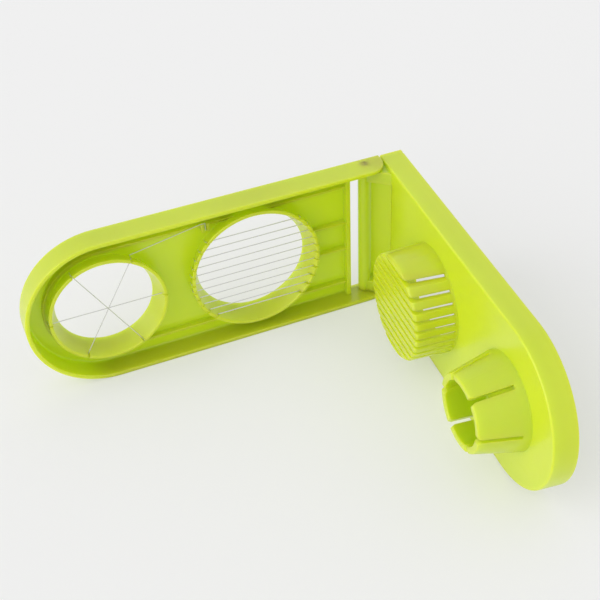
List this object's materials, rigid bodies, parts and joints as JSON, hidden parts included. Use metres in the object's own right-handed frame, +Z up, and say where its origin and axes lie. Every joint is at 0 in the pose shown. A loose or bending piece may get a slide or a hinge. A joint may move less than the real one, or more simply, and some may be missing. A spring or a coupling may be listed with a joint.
{
  "type": "egg slicer",
  "caption": "Hand egg cutter with a wire slicing ring and a wire wedging ring in a tray, and a hinged lid with a slotted comb and a finger crown; shown open on its side.",
  "frame": {"origin": "middle of the standing part's box, on the surface it stands on", "axes": "+X from the round end of the tray towards the hinge, -Y along the open lid away from the hinge, +Z up, along the hinge axis"},
  "size_m": [0.1848, 0.1694, 0.075],
  "materials": {
    "green_plastic": "satin",
    "steel_wire": "bright drawn"
  },
  "bodies": {
    "base": {"base_frame": "green_plastic", "slicer_wire_1": "steel_wire", "slicer_wire_2": "steel_wire", "slicer_wire_3": "steel_wire", "slicer_wire_4": "steel_wire", "slicer_wire_5": "steel_wire", "slicer_wire_6": "steel_wire", "slicer_wire_7": "steel_wire", "slicer_wire_8": "steel_wire", "slicer_wire_9": "steel_wire", "slicer_wire_10": "steel_wire", "slicer_wire_11": "steel_wire", "wedge_wire_1": "steel_wire", "wedge_wire_2": "steel_wire", "wedge_wire_3": "steel_wire"},
    "lid": {"press_lid": "green_plastic"}
  },
  "joints": [
    {"name": "lid_hinge", "type": "hinge", "parent": "base", "child": "lid", "pos_m": [0.07222, 0.0807, 0.0375], "axis": [0, 0, -1], "range_deg": [0, 87]}
  ]
}
